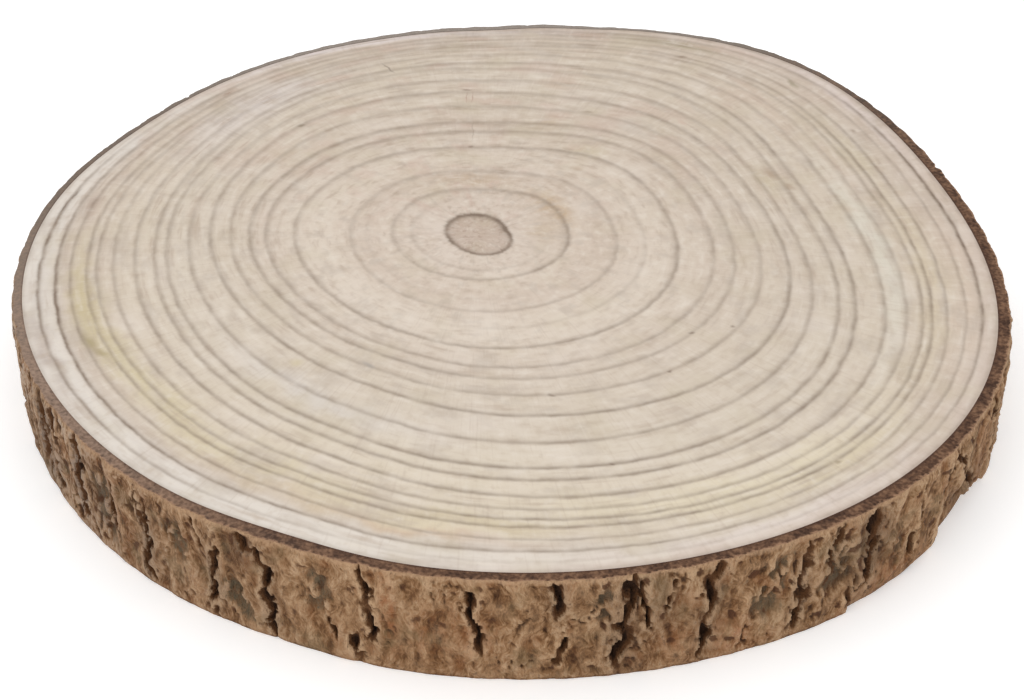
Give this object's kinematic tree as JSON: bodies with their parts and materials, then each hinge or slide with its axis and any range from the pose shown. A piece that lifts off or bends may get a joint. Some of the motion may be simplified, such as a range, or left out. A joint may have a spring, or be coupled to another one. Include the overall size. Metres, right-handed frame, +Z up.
{
  "type": "wood slice",
  "caption": "Thick round cross-section of a tree trunk with its bark on, sawn flat on both faces, to lie on a table as a board, stand or base.",
  "frame": {"origin": "on the underside, below the middle of the slice's box", "axes": "+Z up out of the upper cut face; -Y towards the viewer of the picture; +X to the right of the picture"},
  "size_m": [0.321, 0.3202, 0.037],
  "materials": {
    "wood": "bare sawn end grain, pale cream with grey-brown growth rings, matt, with rough brown bark round the edge"
  },
  "bodies": {
    "root": {"wood_slice": "wood"}
  },
  "joints": []
}
